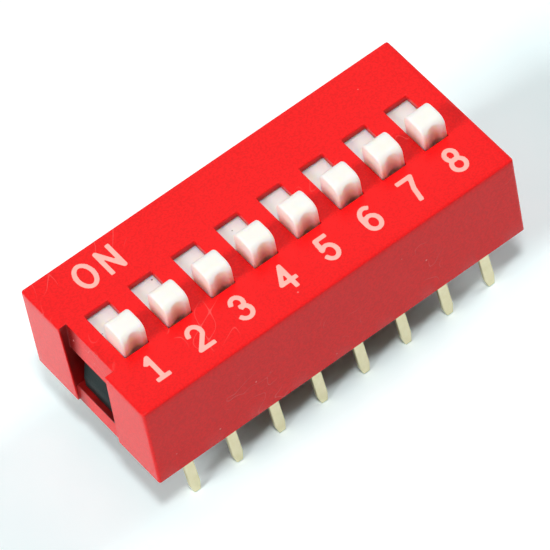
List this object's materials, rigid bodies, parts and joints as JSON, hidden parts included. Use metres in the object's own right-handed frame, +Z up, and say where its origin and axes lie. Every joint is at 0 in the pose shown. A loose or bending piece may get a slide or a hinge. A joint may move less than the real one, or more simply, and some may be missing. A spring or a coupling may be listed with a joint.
{
  "type": "dip switch",
  "caption": "Slide switch block in a dual in-line package, with a row of white knobs in a slotted red cover.",
  "frame": {"origin": "centre of the standing height plane, at the level of the lead tips", "axes": "+X along the row from switch 1 to switch 8, +Y towards the side that switches on, +Z up through the knobs"},
  "size_m": [0.022, 0.0098, 0.0099],
  "materials": {
    "red_plastic": "fine satin, moulded",
    "black_plastic": "matte, moulded",
    "white_plastic": "satin, moulded",
    "contact_metal": "bright spring bronze",
    "lead_metal": "dull tin plate"
  },
  "bodies": {
    "housing": {"cover": "red_plastic", "base": "black_plastic", "terminal_front_1": "lead_metal", "terminal_front_2": "lead_metal", "terminal_front_3": "lead_metal", "terminal_front_4": "lead_metal", "terminal_front_5": "lead_metal", "terminal_front_6": "lead_metal", "terminal_front_7": "lead_metal", "terminal_front_8": "lead_metal", "terminal_rear_1": "lead_metal", "terminal_rear_2": "lead_metal", "terminal_rear_3": "lead_metal", "terminal_rear_4": "lead_metal", "terminal_rear_5": "lead_metal", "terminal_rear_6": "lead_metal", "terminal_rear_7": "lead_metal", "terminal_rear_8": "lead_metal"},
    "switch_1": {"slider_1": "white_plastic", "contact_1": "contact_metal"},
    "switch_2": {"slider_2": "white_plastic", "contact_2": "contact_metal"},
    "switch_3": {"slider_3": "white_plastic", "contact_3": "contact_metal"},
    "switch_4": {"slider_4": "white_plastic", "contact_4": "contact_metal"},
    "switch_5": {"slider_5": "white_plastic", "contact_5": "contact_metal"},
    "switch_6": {"slider_6": "white_plastic", "contact_6": "contact_metal"},
    "switch_7": {"slider_7": "white_plastic", "contact_7": "contact_metal"},
    "switch_8": {"slider_8": "white_plastic", "contact_8": "contact_metal"}
  },
  "joints": [
    {"name": "switch_1_slide", "type": "slide", "parent": "housing", "child": "switch_1", "axis": [0, 1, 0], "range_m": [0, 0.0017]},
    {"name": "switch_2_slide", "type": "slide", "parent": "housing", "child": "switch_2", "axis": [0, 1, 0], "range_m": [0, 0.0017]},
    {"name": "switch_3_slide", "type": "slide", "parent": "housing", "child": "switch_3", "axis": [0, 1, 0], "range_m": [0, 0.0017]},
    {"name": "switch_4_slide", "type": "slide", "parent": "housing", "child": "switch_4", "axis": [0, 1, 0], "range_m": [0, 0.0017]},
    {"name": "switch_5_slide", "type": "slide", "parent": "housing", "child": "switch_5", "axis": [0, 1, 0], "range_m": [0, 0.0017]},
    {"name": "switch_6_slide", "type": "slide", "parent": "housing", "child": "switch_6", "axis": [0, 1, 0], "range_m": [0, 0.0017]},
    {"name": "switch_7_slide", "type": "slide", "parent": "housing", "child": "switch_7", "axis": [0, 1, 0], "range_m": [0, 0.0017]},
    {"name": "switch_8_slide", "type": "slide", "parent": "housing", "child": "switch_8", "axis": [0, 1, 0], "range_m": [0, 0.0017]}
  ]
}
